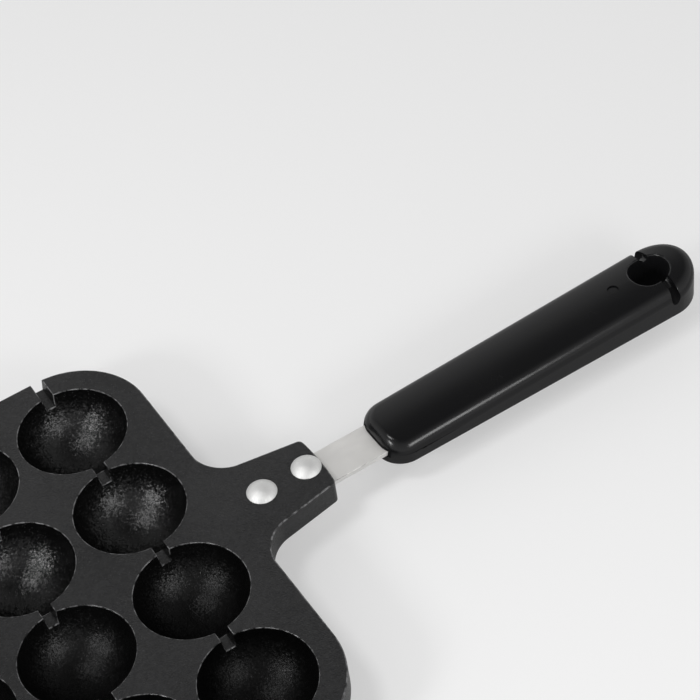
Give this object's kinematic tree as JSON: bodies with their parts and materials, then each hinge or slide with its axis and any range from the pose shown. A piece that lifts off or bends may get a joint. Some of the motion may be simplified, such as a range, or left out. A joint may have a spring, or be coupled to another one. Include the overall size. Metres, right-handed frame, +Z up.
{
  "type": "takoyaki pan",
  "caption": "Stovetop takoyaki pan: a cast plate of half-round cups with guide grooves, a riveted flat metal strip and a moulded grip with a hanging hole.",
  "frame": {"origin": "centre of the grid of cups, on the plane that the domes under the cups rest on", "axes": "+X along the grip, away from the plate; +Y across the plate; +Z up, the way the cups open"},
  "size_m": [0.3589, 0.1994, 0.027],
  "materials": {
    "coated_plate": "cast aluminium with a matte black, finely grained non-stick coating",
    "strip_metal": "satin bare steel",
    "rivet_metal": "bright satin aluminium",
    "grip_plastic": "glossy black moulded phenolic",
    "screw_metal": "zinc-plated steel"
  },
  "bodies": {
    "root": {"pan_plate": "coated_plate", "grip_strip": "strip_metal", "rivet_front": "rivet_metal", "rivet_rear": "rivet_metal", "grip": "grip_plastic", "grip_screw": "screw_metal"}
  },
  "joints": []
}
